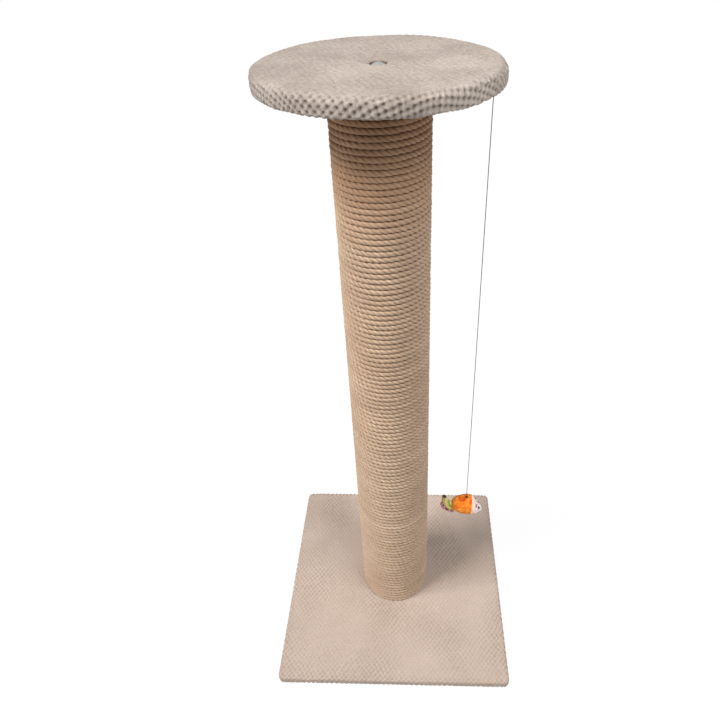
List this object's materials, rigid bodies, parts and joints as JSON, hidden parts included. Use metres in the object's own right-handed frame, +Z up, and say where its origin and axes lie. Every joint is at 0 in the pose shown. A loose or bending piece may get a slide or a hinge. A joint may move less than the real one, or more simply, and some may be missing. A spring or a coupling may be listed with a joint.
{
  "type": "cat scratcher",
  "caption": "Rope-wound scratching post on a square plush-covered base, with a round plush-covered platform and a stuffed toy hung on an elastic string.",
  "frame": {"origin": "on the floor, under the middle of the square base", "axes": "+Z up along the post, +Y from the front edge of the base to the post's back, +X to the side that the toy hangs on"},
  "size_m": [0.408, 0.408, 1.005],
  "materials": {
    "plush": "beige waffle plush",
    "rope": "three-strand natural fibre rope",
    "board": "raw fibreboard",
    "card": "brown wound cardboard",
    "felt": "dark needle felt",
    "wadding": "white wadding",
    "zinc": "zinc-plated steel",
    "elastic": "dark grey covered elastic",
    "orange_plush": "short orange fur fabric",
    "pale_plush": "short pale pink fur fabric",
    "green_plush": "green and yellow fur fabric with a dark tip",
    "pink_plush": "pink and maroon fur fabric",
    "ear_felt": "dark pink felt",
    "bead": "black glossy bead"
  },
  "bodies": {
    "scratcher": {"base_board": "board", "base_cover": "plush", "base_lining": "felt", "base_staples": "zinc", "base_bolt": "zinc", "cardboard_tube": "card", "bottom_plug": "board", "top_plug": "board", "bottom_tee_nut": "zinc", "top_tee_nut": "zinc", "plug_nails": "zinc", "rope_lower_wrap": "rope", "rope_upper_wrap": "rope", "rope_top_turns": "rope", "rope_staples": "zinc", "platform_board": "board", "platform_wadding": "wadding", "platform_cover": "plush", "platform_staples": "zinc", "platform_bolt": "zinc", "string_staple": "zinc"},
    "string_knot": {"string_top_knot": "elastic"},
    "string": {"elastic_string": "elastic"},
    "string_end": {"string_bottom_knot": "elastic"},
    "toy": {"toy_body": "orange_plush", "toy_head": "pale_plush", "toy_eyes": "bead", "toy_ears": "ear_felt", "toy_tail": "green_plush", "toy_tail_trim": "pink_plush"}
  },
  "joints": [
    {"name": "string_swing_out", "type": "hinge", "parent": "scratcher", "child": "string_knot", "pos_m": [0.133, 0.007, 0.979], "axis": [0, -1, 0], "range_deg": [-1.2, 60]},
    {"name": "string_swing_side", "type": "hinge", "parent": "string_knot", "child": "string", "pos_m": [0.133, 0.007, 0.979], "axis": [1, 0, 0], "range_deg": [-60, 60]},
    {"name": "string_stretch", "type": "slide", "parent": "string", "child": "string_end", "axis": [0, 0, -1], "range_m": [0, 0.18], "stiffness_N_per_m": 5, "springref_m": -0.02, "deforming": ["elastic_string"]},
    {"name": "toy_spin", "type": "hinge", "parent": "string_end", "child": "toy", "pos_m": [0.133, 0.007, 0.232], "axis": [0, 0, 1], "continuous": true}
  ]
}
